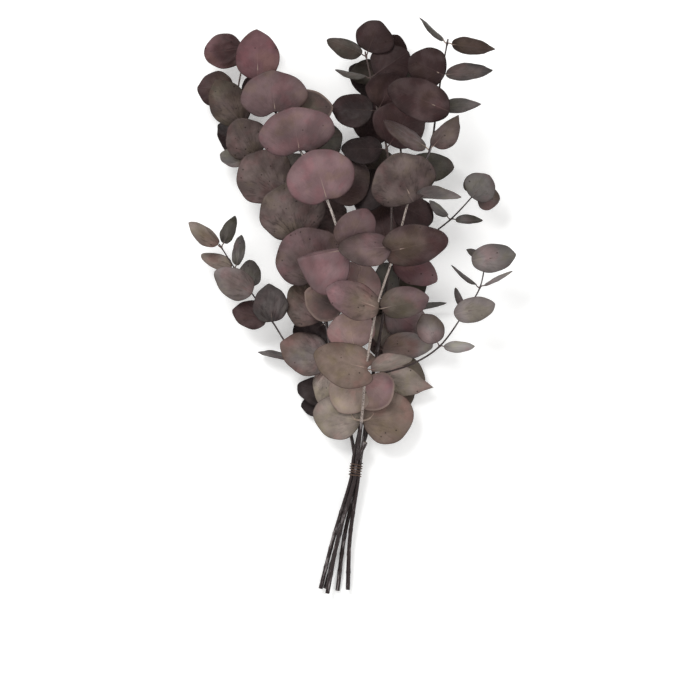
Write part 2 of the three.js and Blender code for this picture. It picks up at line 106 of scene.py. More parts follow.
class Skin:
    """The points and faces of one piece, with the values that paint it at each point."""

    def __init__(self, *labels):
        self.points = []
        self.values = {label: [] for label in labels}
        self.faces = []
        self.count = 0

    def add(self, points, faces, **values):
        """Adds one closed shell. Each value is one number or colour, or one for each point."""
        self.points.append(points)
        for label, kept in self.values.items():
            value = np.asarray(values[label], dtype=float)
            width = value.shape[-1] if value.ndim and value.shape != (len(points),) else 1
            kept.append(np.broadcast_to(value.reshape(-1, width), (len(points), width)))
        self.faces += [tuple(index + self.count for index in face) for face in faces]
        self.count += len(points)

    def piece(self, name, node, material):
        """Makes the finished piece, riding with the bunch in place of its CAD node."""
        mesh = bpy.data.meshes.new(name)
        mesh.from_pydata(((np.concatenate(self.points) + ORIGIN) * MM).tolist(), [], self.faces)
        for label, kept in self.values.items():
            value = np.concatenate(kept)
            kind, key = VALUE_KINDS[value.shape[1]]
            mesh.attributes.new(label, kind, "POINT").data.foreach_set(key, value.ravel())
        mesh.polygons.foreach_set("use_smooth", [True] * len(mesh.polygons))
        mesh.materials.append(material)
        mesh.update()
        made = new_object(name, mesh)
        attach(made, "root")
        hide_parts(node)


def sweep(line, radii, sides):
    """A closed round tube along a line, with each ring's radius, and its faces."""
    ways = np.gradient(line, axis=0)
    ways /= np.linalg.norm(ways, axis=1)[:, None]
    across = np.cross(ways[0], (0.0, 0.0, 1.0))
    angles = 2 * np.pi * np.arange(sides) / sides
    rings = []
    for point, way, radius in zip(line, ways, np.broadcast_to(radii, len(line))):
        across = across - way * np.dot(across, way)
        across /= np.linalg.norm(across)
        up = np.cross(across, way)
        circle = np.cos(angles)[:, None] * across + np.sin(angles)[:, None] * up
        rings.append(point + radius * circle)
    points = np.concatenate([*rings, line[:1], line[-1:]])
    faces = []
    for k in range(len(line) - 1):
        for j in range(sides):
            a, b = k * sides + j, k * sides + (j + 1) % sides
            faces.append((a, b, b + sides, a + sides))
    start, end = len(points) - 2, len(points) - 1
    last = (len(line) - 1) * sides
    for j in range(sides):
        faces.append((start, (j + 1) % sides, j))
        faces.append((end, last + j, last + (j + 1) % sides))
    return points, faces


def connect(node, inputs):
    """Gives a shader node its inputs, each a value or the socket that feeds it."""
    for key, value in inputs.items():
        if isinstance(value, bpy.types.NodeSocket):
            node.id_data.links.new(value, node.inputs[key])
        else:
            node.inputs[key].default_value = value


def put(kind, inputs, **settings):
    """A new shader node beside the ones that feed it, with its settings."""
    feeding = next(value for value in inputs.values() if isinstance(value, bpy.types.NodeSocket))
    made = feeding.id_data.nodes.new("ShaderNode" + kind)
    for key, value in settings.items():
        setattr(made, key, value)
    connect(made, inputs)
    return made


def fade(value, low, high, start=0.0, end=1.0):
    """A value turned smoothly from start to end as it goes from low to high."""
    inputs = {"Value": value, 1: low, 2: high, 3: start, 4: end}
    return put("MapRange", inputs, interpolation_type="SMOOTHSTEP").outputs["Result"]


def blend(share, a, b):
    """Two colours mixed by a share, through the mix node's colour sockets."""
    return put("Mix", {0: share, 6: a, 7: b}, data_type="RGBA").outputs[2]


def speckle(place, scale, detail=3.0, roughness=0.55):
    """Uneven patches over the surface. A larger scale makes them smaller."""
    inputs = {"Vector": place, "Scale": scale, "Detail": detail, "Roughness": roughness}
    return put("TexNoise", inputs).outputs["Fac"]


def new_material(name):
    """An empty material and its surface shader."""
    made = bpy.data.materials.new(name)
    made.use_nodes = True
    return made, made.node_tree.nodes["Principled BSDF"]


def wire_material():
    """Brown lacquered wire, smoother where its lacquer is worn, with painted glints there: a lighter
    copy of its colour.
    """
    made, surface = new_material("brown_wire")
    place = made.node_tree.nodes.new("ShaderNodeTexCoord").outputs["Object"]
    # Patches where the lacquer is worn: smoother, and given painted glints, a lighter copy of the
    # wire's colour
    rub_and_glint = fade(speckle(place, 900.0), 0.45, 0.7)
    connect(surface, {
        "Base Color": blend(rub_and_glint, linear(WIRE_COLOUR), linear(WIRE_GLINT)),
        "Roughness": fade(rub_and_glint, 0.0, 1.0, 0.55, 0.35),
        "Metallic": 0.4,
    })
    return made


tie_skin = Skin()
tie_skin.add(*sweep(coil_line(WIRE_STRAY), WIRE / 2, WIRE_SIDES))
tie_skin.piece("tie_wire", "tie", wire_material())

# The five woody stems
# Each grew with a swollen ring at every pair of leaves and thins towards its tip. The low part has
# dark purple-brown bark; the young part of the two front stems is pale pinkish-white with brown
# flecks. Thin side twigs grow from three of them, and the front one keeps a cut stub above the tie.
STEM_THICK = 3.8
WOOD = {  # thickness at the foot and the tip, and the mesh's sides and step
    "stem": {"thick": STEM_THICK, "thin": 1.3, "sides": 14, "step": 2.2},
    "twig": {"thick": 1.8, "thin": 1.1, "sides": 10, "step": 1.54},
    "stub": {"thick": 4.2, "thin": 4.2, "sides": 10, "step": 1.54},
}
TAPER = 0.9
TIP_LENGTH = 4
TIED_REACH = 9  # the stems run nearly side by side this far each way
TIED_SPREAD = 1.12  # how much further apart they are at both ends of that
RING_SWELL = 0.45  # how far a node stands out
RING_LENGTH = 1.7  # half the length of such a swelling
SCARS = (18, 33, 52, 71)  # old leaf scars, from the cut end
SCAR_STRAY = 4
SCAR_SWELL = 0.35
SCAR_LENGTH = 1.4
LOW_RIDGES = 0.035  # height of the ridges along a stem, over its radius
FINE_RIDGES = 0.025
LENGTH_MARKS = 201  # points by which a line is measured
CLEAR_STEP = 3  # step of the points on a stem that the leaves keep clear of
TWIG_AGE = 0.55  # where 0 is young bark and 1 is old bark
TURNS_YOUNG = 0.02  # half the stretch where bark turns, over the stem's length
TURNS_OLD = 0.03
BARK_ROUND = 1.8  # radius at which the bark's pattern goes round a stem
BARK_SHIFT = 37.0  # from one stem's pattern to the next one's
BARK_BUMP = {"Strength": 0.6, "Distance": 0.0004}
BARK_SHINE = 0.35
OLD_BARK = (47, 37, 38)
BARK_FLECK = (84, 60, 51)
# painted shade in the bark's cracks
BARK_CRACK_SHADE = (30, 24, 24)
BARK_RUB = (134, 120, 112)
# pale streaks on old bark, partly painted highlights
BARK_STREAK_SHEEN = (146, 138, 138)
CUT_WOOD = (150, 128, 103)


def foot(end, middle, angle):
    """One stem from its cut end, through the tie, to its first leaves."""
    turn = math.radians(angle)
    across, up = BUNDLE_RADIUS * math.cos(turn), BUNDLE_RADIUS * math.sin(turn)
    before = about_tie(-TIED_REACH, across * TIED_SPREAD, up * TIED_SPREAD)
    after = about_tie(TIED_REACH, across * TIED_SPREAD, up * TIED_SPREAD)
    return [end, middle, before, about_tie(0, across, up), after]


# Each stem's foot and leaf pairs, and from which pair its twig grows, with that twig's pairs
STEMS = {
    "right_front_stem": {
        "foot": foot((-23, -252, 9.6), (-13.5, -203, 12.4), 90),
        "nodes": [(7, -100, 25), (11, -56, 47), (20, -3, 60), (37, 51, 69), (49, 95, 73),
                  (66, 135, 74), (72, 172, 74), (76, 200, 73), (81, 227, 72)],
        "stub": [(3.2, -134, 15.8), (10.5, -119, 19.5)],
        "slot": "leaf_grey_mauve", "young": (192, 177, 168),
        "young_from": (7, -100, 25), "young_to": (58, 115, 74),
        "slim": 0.8,  # thickness of the young part, over what the taper gives
    },
    "left_front_stem": {
        "foot": foot((-29, -248, 6.4), (-17.5, -203, 8.4), 162),
        "nodes": [(6, -104, 13), (6, -62, 30), (1, -38, 35), (-6, -5, 44), (-9, 45, 57), (-23, 92, 60),
                  (-47, 136, 60), (-68, 169, 58), (-83, 202, 55)],
        "slot": "leaf_pink", "young": (206, 194, 187),
        "young_from": (6, -62, 30), "young_to": (-47, 136, 60),
    },
    "left_back_stem": {
        "foot": foot((-25, -248, 2.0), (-13, -203, 4.6), 234),
        "nodes": [(-9, -82, 13), (-18, -49, 18), (-24, -14, 24), (-33, 28, 28), (-50, 67, 30),
                  (-66, 99, 30), (-84, 128, 29), (-96, 156, 27), (-101, 187, 26), (-93, 226, 25)],
        "twig": (1, [(-45, -48, 11), (-72, -12, 26), (-90, 13, 32), (-103, 32, 36),
                     (-115, 51, 39)]),
        "slot": "leaf_grey_brown", "young": (94, 80, 75),
    },
    "right_back_stem": {
        "foot": foot((-5, -249, 5.2), (-3, -203, 7.6), 18),
        "nodes": [(17, -61, 17), (21, -38, 26), (27, 1, 37), (32, 44, 41), (33, 92, 43),
                  (29, 137, 43), (21, 170, 43), (15, 199, 43), (11, 218, 42)],
        "twig": (0, [(52, -50, 34), (75, -35, 38), (97, -5, 43), (110, 16, 46), (115, 41, 48)]),
        "slot": "leaf_maroon", "young": (86, 73, 70),
    },
    "centre_back_stem": {
        "foot": foot((-14, -250, 2.0), (-8, -203, 4.4), 306),
        "nodes": [(17, -92, 10), (26, -50, 13), (35, -2, 14), (42, 43, 15), (45, 85, 16),
                  (43, 122, 17), (39, 155, 18), (34, 184, 21), (28, 208, 24)],
        "twig": (3, [(64, 60, 24), (85, 76, 29), (104, 96, 34)]),
        "slot": "leaf_olive", "young": (80, 68, 63),
    },
}


def curve_at(places, t):
    """Points of the smooth line through the places, at shares of it from 0 to 1."""
    p = np.asarray(places, dtype=float)
    p = np.concatenate([[2 * p[0] - p[1]], p, [2 * p[-1] - p[-2]]])
    spans = len(p) - 3
    k = np.minimum((t * spans).astype(int), spans - 1)
    w = (t * spans - k)[:, None]
    a, b, c, d = p[k], p[k + 1], p[k + 2], p[k + 3]

    def step(one, other):
        return (((other - one) ** 2).sum(axis=1) ** 0.25)[:, None]

    before, here, after = step(a, b), step(b, c), step(c, d)
    leave = ((b - a) / before - (c - a) / (before + here) + (c - b) / here) * here
    arrive = ((c - b) / here - (d - b) / (here + after) + (d - c) / after) * here
    square = -3 * b + 3 * c - 2 * leave - arrive
    cube = 2 * b - 2 * c + leave + arrive
    return b + leave * w + square * w ** 2 + cube * w ** 3


def spaced(places, step):
    """Points a step apart along the smooth line through the places, and its length."""
    t = np.linspace(0, 1, LENGTH_MARKS)
    marks = curve_at(places, t)
    run = np.append(0, np.cumsum(np.linalg.norm(np.diff(marks, axis=0), axis=1)))
    count = int(run[-1] / step + 0.5)
    return curve_at(places, np.interp(np.linspace(0, run[-1], count + 1), run, t)), run[-1]


def apart(points, place):
    """How far points are from a place."""
    return np.linalg.norm(points - np.array(place), axis=1)


def with_tip(places):
    """The places of a stem or twig, with its bare tip."""
    last, before = np.array(places[-1], dtype=float), np.array(places[-2], dtype=float)
    way = (last - before) / np.linalg.norm(last - before)
    return [*places, last + way * TIP_LENGTH]


def woody_lines():
    """Every stem, side twig and stub, in the order in which the leaves keep clear of them."""
    found = []
    for name, stem in STEMS.items():
        parts = [("stem", with_tip([*stem["foot"], *stem["nodes"]]), stem["nodes"])]
        if "twig" in stem:
            start, nodes = stem["twig"]
            parts.append(("twig", with_tip([stem["nodes"][start], *nodes]), nodes))
        if "stub" in stem:
            parts.append(("stub", stem["stub"], []))
        for kind, places, rings in parts:
            found.append(SimpleNamespace(stem=name, kind=kind, places=places, rings=rings,
                                         points=spaced(places, CLEAR_STEP)[0], **WOOD[kind]))
    return found


def maths(operation, a, b=0.0, c=0.0):
    """A value that shader nodes work out from one to three others."""
    return put("Math", {0: a, 1: b, 2: c}, operation=operation).outputs[0]


def times(a, b):
    return maths("MULTIPLY", a, b)


def plus(a, b):
    return maths("ADD", a, b)


def new_skin(name, inputs):
    """An empty group of shader nodes that gives a grown skin's colour, height and roughness."""
    tree = bpy.data.node_groups.new(name, "ShaderNodeTree")
    outputs = {"Colour": "Color", "Height": "Float", "Roughness": "Float"}
    for way, sockets in (("INPUT", inputs), ("OUTPUT", outputs)):
        for label, kind in sockets.items():
            tree.interface.new_socket(label, in_out=way, socket_type="NodeSocket" + kind)
    return tree, tree.nodes.new("NodeGroupInput").outputs, tree.nodes.new("NodeGroupOutput")


def bark_group():
    """Bark that turns from young to old, with flecks, long cracks darkened with painted shade, pale
    streaks that are partly painted highlights, and a pale rub here and there.
    """
    tree, given, out = new_skin("bark_skin", {
        "Young": "Color", "Age": "Float", "Place": "Vector", "Wood": "Float",
    })
    place = given["Place"]
    long_way = put("Mapping", {"Vector": place, "Scale": (1.0, 1.0, 0.16)}).outputs[0]
    cracks = speckle(long_way, 1.6, 5.0, 0.65)
    flecks = fade(speckle(place, 0.8, 5.0, 0.65), 0.52, 0.6)
    fine = speckle(place, 2.4, 4.0)
    streaks_and_sheen = fade(speckle(long_way, 0.32, 5.0, 0.7), 0.53, 0.62, 0.0, 0.75)

    turned = fade(plus(given["Age"], times(flecks, 0.35)), 0.25, 0.75)
    colour = blend(turned, given["Young"], linear(OLD_BARK))
    flecked = times(flecks, fade(turned, 0.0, 1.0, 0.9, 0.25))
    colour = blend(flecked, colour, linear(BARK_FLECK))
    # Painted shade: darker where the cracks' grooves are
    colour = blend(fade(cracks, 0.35, 0.62, 0.55, 0.0), colour, linear(BARK_CRACK_SHADE))
    colour = blend(fade(fine, 0.6, 0.75, 0.0, 0.4), colour, linear(BARK_RUB))
    # Pale streaks on the old bark, partly the bark's own and partly painted highlights along the stems
    colour = blend(times(streaks_and_sheen, turned), colour, linear(BARK_STREAK_SHEEN))
    connect(out, {
        "Colour": blend(given["Wood"], colour, linear(CUT_WOOD)),
        "Height": plus(cracks, times(fine, 0.4)),
        "Roughness": fade(cracks, 0.3, 0.7, 0.75, 0.5),
    })
    return tree


BARK_SKIN = bark_group()
POINT_VALUES = {"RGBA": "Color", "VECTOR": "Vector", "VALUE": "Fac"}


def grown_material(name, group, settings, bump, shine):
    """Bark or leaf skin. What the settings leave out comes from the values at the piece's points."""
    made, surface = new_material(name)
    skin = made.node_tree.nodes.new("ShaderNodeGroup")
    skin.node_tree = group
    connect(skin, settings)
    for socket in skin.inputs:
        if socket.name not in settings:
            carried = made.node_tree.nodes.new("ShaderNodeAttribute")
            carried.attribute_name = socket.name.lower().replace(" ", "_")
            connect(skin, {socket.name: carried.outputs[POINT_VALUES[socket.type]]})
    raised = put("Bump", {"Height": skin.outputs["Height"], **bump})
    connect(surface, {
        "Base Color": skin.outputs["Colour"],
        "Roughness": skin.outputs["Roughness"],
        "Normal": raised.outputs[0],
        "Specular IOR Level": shine,
    })
    return made


def soft_step(value, low, high):
    """A share that goes smoothly from 0 to 1 as a value goes from low to high."""
    share = np.clip((value - low) / (high - low), 0, 1)
    return share * share * (3 - 2 * share)


def draw(seed):
    """A repeatable draw between -1 and 1."""
    x = np.sin(np.asarray(seed) * 12.9898 + 4.137) * 43758.5453
    return 2 * (x - np.floor(x)) - 1


def bark_age(line, points):
    """How old the bark is along a stem, from 0 to 1. Two stems are young only between two places."""
    stem = STEMS[line.stem]
    if line.kind == "stub":
        return np.ones(len(points))
    if line.kind == "twig":
        return np.full(len(points), TWIG_AGE)
    if "young_from" not in stem:
        return np.linspace(1, 0, len(points))
    start, end = (apart(points, stem[key]).argmin() / len(points) for key in ("young_from", "young_to"))
    share = np.linspace(0, 1, len(points))
    young = soft_step(share, start - TURNS_YOUNG, start + TURNS_YOUNG)
    return 1 - young + soft_step(share, end - TURNS_OLD, end + TURNS_OLD)


def add_wood(skin, line, seed):
    """One stem, twig or stub: a tube with rings at its nodes, long low ridges and flat cut ends."""
    points, length = spaced(line.places, line.step)
    age = bark_age(line, points)
    along = np.linspace(0, 1, len(points))
    radius = (line.thin + (line.thick - line.thin) * (1 - along) ** TAPER) / 2
    radius *= 1 - (1 - STEMS[line.stem].get("slim", 1)) * (1 - age)
    for ring in line.rings:
        away = apart(points, ring)
        radius += RING_SWELL * line.thick / STEM_THICK * np.exp(-(away / RING_LENGTH) ** 2)
    if line.kind == "stem":
        for k, scar in enumerate(SCARS):
            away = along * length - scar - SCAR_STRAY * draw(seed + k)
            radius += SCAR_SWELL * np.exp(-(away / SCAR_LENGTH) ** 2)

    shell, faces = sweep(points, radius, line.sides)
    around = np.tile(2 * np.pi * np.arange(line.sides) / line.sides, len(points))
    share = np.repeat(along, line.sides)
    # Three low ridges and five fine ones go round a stem and twist along it
    ridge = (LOW_RIDGES * np.sin(3 * around + 9 * share + seed)
             + FINE_RIDGES * np.sin(5 * around - 14 * share))
    body = len(share)
    shell[:body] += (shell[:body] - np.repeat(points, line.sides, axis=0)) * ridge[:, None]

    place = np.stack([BARK_ROUND * np.cos(around), BARK_ROUND * np.sin(around), share * length], axis=1)
    place = np.concatenate([place + seed * BARK_SHIFT, [[0, 0, 0], [0, 0, length]]])
    wood = np.zeros(len(shell))
    if line.kind != "twig":
        wood[-2 if line.kind == "stem" else -1] = 1  # a stem is cut at its foot, a stub at its top
    age = np.append(np.repeat(age, line.sides), age[[0, -1]])
    skin.add(shell, faces, place=place, wood=wood, age=age)


wood_lines = woody_lines()
for order, (name, stem) in enumerate(STEMS.items()):
    wood_skin = Skin("place", "age", "wood")
    for k, line in enumerate(line for line in wood_lines if line.stem == name):
        add_wood(wood_skin, line, order + 0.3 * k)
    young = {"Young": linear(stem["young"])}
    bark = grown_material(name + "_bark", BARK_SKIN, young, BARK_BUMP, BARK_SHINE)
    wood_skin.piece(name + "_wood", name, bark)

# The leaves of the right front stem
# Round leathery blades in opposite pairs, each on a short pale stalk, dried matte with thin darker
# rims that are partly painted shade. Every blade has the pose, size and outline of its solid and is
# settled clear of the others by the same rule, and gets its real thickness, a raised midrib, side
# veins and crinkles.
STALK = 4.0  # leaf stalk, from the stem's axis to the blade
CLEAR = 1.5  # least distance between the middles of two blades
RIM_CLEAR = 2.5  # the same, measured sideways past a blade's rim
EGG = 0.14  # how much wider the base half of a blade is
REST = 0.4  # a solid blade's middle when it lies on the surface
OVER_STEM = 3.2  # how far a blade that reaches back over its stem stands off it
OVER_STEM_RISE = 0.25  # and more for each millimetre that it reaches back
CUP, CUP_SPREAD = -0.05, 0.07  # how far a blade's rims stand up, over its width
BEND, BEND_SPREAD = -0.03, 0.05  # how far a blade's end curls up, over its length
WAVE, WAVE_SPREAD = 0.018, 0.012  # height of the waves of its rim, over its width
WAVE_RUN = 7  # how far they run along a blade, in radians
SMALL_LEAF = 32  # a blade shorter than this is small
SAMPLE_ROWS, SAMPLE_COLUMNS = 12, 8  # steps between the points at which a blade is tested
RISES = (0, 5, -5, 10, -10, 16, -16, 24, -24, 32)  # degrees by which a leaf may be turned
ROLLS = (0, 9, -9, 18, -18, 30, -30)
SWINGS = (0, 7, -7, 15, -15)
RISE_UNIT, ROLL_UNIT, SWING_UNIT = 5, 9, 6  # degrees that cost one
BELOW_SURFACE = 200  # the same cost for a leaf that doesn't fit
CROSSES_OTHER_STEM = 200
CROSSES_OWN_STEM = 30
NEAR_BASE = 9  # leaves of one node may come together this near to it
STEM_REACH = 4  # how far past a blade's reach a stem is still tested
TURNS = sorted((abs(rise) / RISE_UNIT + abs(roll) / ROLL_UNIT + abs(swing) / SWING_UNIT,
                rise, roll, swing) for rise in RISES for roll in ROLLS for swing in SWINGS)

PLAIN_LEAF = {  # what the last part of a leaf's row may change
    "back": 0,  # how far the blade reaches back over its stem
    "under": False,  # whether such a blade lies under the stem
    "right": 1,  # width of the right half, over the plain one's
    "tip": 1,  # how far the tip is drawn out
    "fold": 0,  # degrees by which both halves are folded up
    "lies": False,  # whether it is bent down onto the surface
    "notch": 0,  # how deep the base is notched
    "hook": 0,  # how far the stalk bends towards the stem's tip
    "pale_to": 0,  # how far the stalk stays pale; 0 judges it by the blade's tone
    "pale_rim": 0,  # how pale the rim is
    "crinkle": None,  # how crinkled it is; None is as its stem's leaves are
}


def pose(place, row, seed):
    """A leaf in space: where its blade starts, the way it points, its left side and its face.

    A row holds its heading, rise and roll in degrees, its length, width and tone, and changes."""
    heading, rise, roll, length, width, tone, *changes = row
    leaf = SimpleNamespace(**PLAIN_LEAF)
    leaf.__dict__.update(*changes, length=length, width=width, tone=tone, seed=seed)
    h, e, r = (math.radians(angle) for angle in (heading, rise, roll))
    leaf.along = np.array((math.cos(e) * math.cos(h), math.cos(e) * math.sin(h), math.sin(e)))
    level = np.array((-math.sin(h), math.cos(h), 0.0))
    leaf.side = level * math.cos(r) + np.cross(leaf.along, level) * math.sin(r)
    leaf.face = np.cross(leaf.along, leaf.side)
    leaf.node = np.array(place, dtype=float)
    leaf.at = leaf.node
    if leaf.back > 0:
        clear = (OVER_STEM + leaf.back * OVER_STEM_RISE) * (-1 if leaf.under else 1)
        leaf.at = leaf.node - leaf.along * leaf.back + leaf.face * clear
    leaf.slope = math.tan(math.radians(leaf.fold))
    leaf.cup = CUP + CUP_SPREAD * draw(seed + 0.1)
    leaf.bend = BEND + BEND_SPREAD * draw(seed + 0.2)
    leaf.wave = WAVE + WAVE_SPREAD * draw(seed + 0.3)
    leaf.phase = math.pi * draw(seed + 0.4)
    return leaf


def half_width(leaf, angle, way):
    """Half a blade's width at an angle from 0 at its base to 180 degrees at its tip."""
    share = np.where(way > 0, 1, leaf.right)
    return leaf.width / 2 * np.sin(angle) * (1 + EGG * np.cos(angle)) * share


def height(leaf, u, v):
    """How far a blade's middle stands off its frame's plane."""
    t = u / leaf.length
    across = v / (leaf.width / 2)
    wave = np.sin(WAVE_RUN * t + leaf.phase + 2 * np.sign(v))
    return (leaf.cup * leaf.width * across ** 2 + leaf.bend * leaf.length * t ** 2
            + leaf.slope * np.abs(v) + leaf.wave * leaf.width * across ** 2 * wave)


def on_blade(leaf, u, v, lift=0.0):
    """Points of a blade's middle: u along from its base, v to its left side."""
    off = height(leaf, np.maximum(u, 0), v) + lift
    points = (leaf.at + (STALK + u)[:, None] * leaf.along + v[:, None] * leaf.side
              + off[:, None] * leaf.face)
    if leaf.lies:
        points[:, 2] = np.maximum(points[:, 2], REST)
    return points


SAMPLE_ANGLE, SAMPLE_ACROSS = (grid.ravel() for grid in np.meshgrid(
    np.pi * np.arange(SAMPLE_ROWS + 1) / SAMPLE_ROWS,
    2 * np.arange(SAMPLE_COLUMNS + 1) / SAMPLE_COLUMNS - 1, indexing="ij"))


def samples(leaf):
    """The points of a blade at which it is tested."""
    u = leaf.length / 2 * (1 - np.cos(SAMPLE_ANGLE))
    return on_blade(leaf, u, half_width(leaf, SAMPLE_ANGLE, SAMPLE_ACROSS) * SAMPLE_ACROSS)


def crosses(points, leaf, clear):
    """True where points pass through or too near a blade: some above it and some below it."""
    offset = points - leaf.at
    u = offset @ leaf.along - STALK
    v = offset @ leaf.side
    inside = np.clip(u, 0, leaf.length)
    angle = np.arccos(np.clip(1 - 2 * inside / leaf.length, -1, 1))
    near = ((u >= -RIM_CLEAR) & (u <= leaf.length + RIM_CLEAR)
            & (np.abs(v) <= half_width(leaf, angle, v) + RIM_CLEAR))
    off = (offset @ leaf.face - height(leaf, inside, v))[near]
    return bool((off > -clear).any() and (off < clear).any())


def trouble(leaf, placed):
    """How badly a posed leaf fits among the leaves and stems that are already there."""
    points = samples(leaf)
    total = BELOW_SURFACE if (points[:, 2] < REST).any() else 0
    for other in placed:
        if np.linalg.norm(other.centre - leaf.centre) > other.reach + leaf.reach:
            continue
        mine, theirs = points, other.points
        if np.linalg.norm(other.node - leaf.node) < 1:
            near = NEAR_BASE + max(leaf.back, other.back)
            mine = points[apart(points, leaf.node) > near]
            theirs = theirs[apart(theirs, leaf.node) > near]
        if crosses(mine, other, CLEAR) or crosses(theirs, leaf, CLEAR):
            total += CROSSES_OWN_STEM if other.stem == leaf.stem else CROSSES_OTHER_STEM
    for line in wood_lines:
        own = line.stem == leaf.stem
        near = apart(line.points, leaf.centre) < leaf.reach + STEM_REACH
        if own:
            near &= apart(line.points, leaf.node) > NEAR_BASE + leaf.back
        if crosses(line.points[near], leaf, CLEAR + line.thick / 2):
            total += CROSSES_OWN_STEM if own else CROSSES_OTHER_STEM
    return total


def settle(place, row, seed, stem, placed):
    """The pose that fits best, with the least turning."""
    best, least = None, math.inf
    for cost, rise, roll, swing in TURNS:
        if cost >= least:
            break
        turned = (row[0] + swing, row[1] + rise, row[2] + roll, *row[3:])
        leaf = pose(place, turned, seed)
        leaf.stem = stem
        leaf.centre = on_blade(leaf, np.array([leaf.length / 2]), np.array([0.0]))[0]
        leaf.reach = math.hypot(leaf.length, leaf.width) / 2 + RIM_CLEAR
        full = cost + trouble(leaf, placed)
        if full < least:
            best, least = leaf, full
    best.points = samples(best)
    return best


grown = []  # all leaves so far


def grow(stem, rows):
    """Every leaf of a stem and its side twig, each settled among those that grew before it."""
    nodes = [*STEMS[stem]["nodes"], *STEMS[stem].get("twig", (0, []))[1]]
    own = []
    for place, node_rows in zip(nodes, rows, strict=True):
        for row in node_rows:
            own.append(settle(place, row, len(grown) + 1, stem, grown))
            grown.append(own[-1])
    return own


TONES = {
    "cream": (158, 140, 130), "rose": (146, 122, 119), "sand": (136, 124, 116),
    "silver": (156, 150, 147), "ash": (119, 110, 108), "beige": (111, 93, 87), "tan": (113, 97, 88),
    "pink": (119, 95, 97), "dusty_red": (101, 73, 76), "mauve": (101, 82, 83), "slate": (98, 93, 91),
    "taupe": (96, 83, 80), "umber": (80, 67, 65), "brown": (78, 64, 58), "olive": (91, 82, 73),
    "moss": (60, 54, 48), "sage": (72, 68, 63), "lead": (74, 68, 67), "maroon": (66, 49, 49),
    "wine": (53, 38, 38), "black": (41, 31, 31),
}
LEAF_SHIFT = 31.0  # from one leaf's pattern to the next one's
BLADE_HALF = 0.22  # half the real thickness of a blade
RIM_THINNER = 0.6  # how much thinner its rim is
# The points round a blade's mesh, its rings, and the share of each half's outline before its tip
BIG_BLADE = SimpleNamespace(around=76, rings=13, point_from=5 / 6)
SMALL_BLADE = SimpleNamespace(around=52, rings=9, point_from=4 / 5)
POINT_POWER = 1.4  # how suddenly the tip is drawn out
RING_POWER = 0.85  # the rings of a blade's mesh lie closer together near its rim
BLADE_MIDDLE = 0.48  # the middle of those rings, along the blade
UNEVEN = 0.012  # how uneven an outline is, over the blade's size
FINE_UNEVEN = 0.008
CRINKLED_UNEVEN = 1.2  # how much more a crinkled outline is
NOTCH_HALF = 0.2  # half of what a notch takes up of the outline, as an angle
LOBE_AT, LOBE_HALF = 0.5, 0.28  # where the lobe on each side of it is, and the same for it
LOBE_SHARE = 0.25  # how far back the lobes reach, over the notch's depth
WAVES = ((0.10, 22, 0), (0.05, 9, 5))  # height, length and seed of a blade's own waves
CRINKLED_WAVES = 3.5  # how much higher a crinkled blade's are
FAN_RIDGES = 8.5  # ridges a radian on a crinkled blade, fanning out from behind its base
FAN_FROM = 6  # how far behind it
FAN_STRAY, FAN_STRAY_LENGTH = 1.6, 22  # how much they stray, and how far apart
FAN_HEIGHT = 0.6
VEIN_STEP = 7.5
VEIN_SLANT = 0.8  # the side veins reach this far forward, over their way out
VEIN_HEIGHT = 0.05
RIM_HEIGHT = 0.18
RIB_HALF = 1.5  # half the width along the midrib that stays even
RIB_EVEN = 0.7
STALK_THICK = 1.5
STALK_SIDES = 8
STALK_RINGS = 8
STALK_SAG = 0.6
STALK_FOOT = (0.45, 0.3, 0.12)  # swelling of its first rings, over half its thickness
STALK_TAPER = (0.72, 0.6, 0.7)  # how thick it meets the blade, what it loses, and how suddenly
HOOK_TAPER = (1.3, 0.9, 2)
STALK_PALE = 0.85
STALK_TONES = (0.03, 0.12)  # how light a dark and a pale blade are
STALK_REACHES = (0.12, 0.5)  # how far the stalk's own colour goes out on them
NO_RIM = 9.0  # far enough from a rim to show none of it
RIB_RINGS = 22
RIB_LENGTH = 0.72  # how far along the blade the midrib stands out
HOOK_LENGTH = 11  # how far along the blade a bent stalk goes


def ripple(u, v, seed, length, count=5):
    """A smooth uneven value about 0 from a few crossing waves of about one length."""
    total = np.zeros_like(u)
    for k in range(count):
        angle = math.pi * (k + 0.5 * draw(seed + 0.61 * k)) / count
        size = length * (1 + 0.35 * draw(seed + 0.37 * k))
        along = u * math.cos(angle) + v * math.sin(angle)
        total += np.sin(2 * math.pi * along / size + 3 * draw(seed + 0.53 * k))
    return total / count


def outline(leaf, mesh):
    """The rim of a blade in its own plane, from its base round its left side, tip and right side."""
    turn = 2 * np.pi * np.arange(mesh.around) / mesh.around
    angle = np.where(turn <= np.pi, turn, 2 * np.pi - turn)
    way = np.where(turn < np.pi, 1.0, -1.0)
    drawn = np.clip((angle / np.pi - mesh.point_from) / (1 - mesh.point_from), 0, 1) ** POINT_POWER
    u = leaf.length / 2 * (1 - np.cos(angle)) + leaf.tip * drawn
    v = way * half_width(leaf, angle, way)
    rough = 1 + CRINKLED_UNEVEN * leaf.crinkle
    uneven = 1 + UNEVEN * rough * np.sin(3 * turn + 7 * draw(leaf.seed))
    uneven += FINE_UNEVEN * rough * np.sin(7 * turn + leaf.seed)
    middle = leaf.length * BLADE_MIDDLE
    dent = np.exp(-(angle / NOTCH_HALF) ** 2)
    lobe = np.exp(-((angle - LOBE_AT) / LOBE_HALF) ** 2)
    u = middle + (u - middle) * uneven + leaf.notch * (dent - LOBE_SHARE * lobe)
    return u, v * uneven, middle


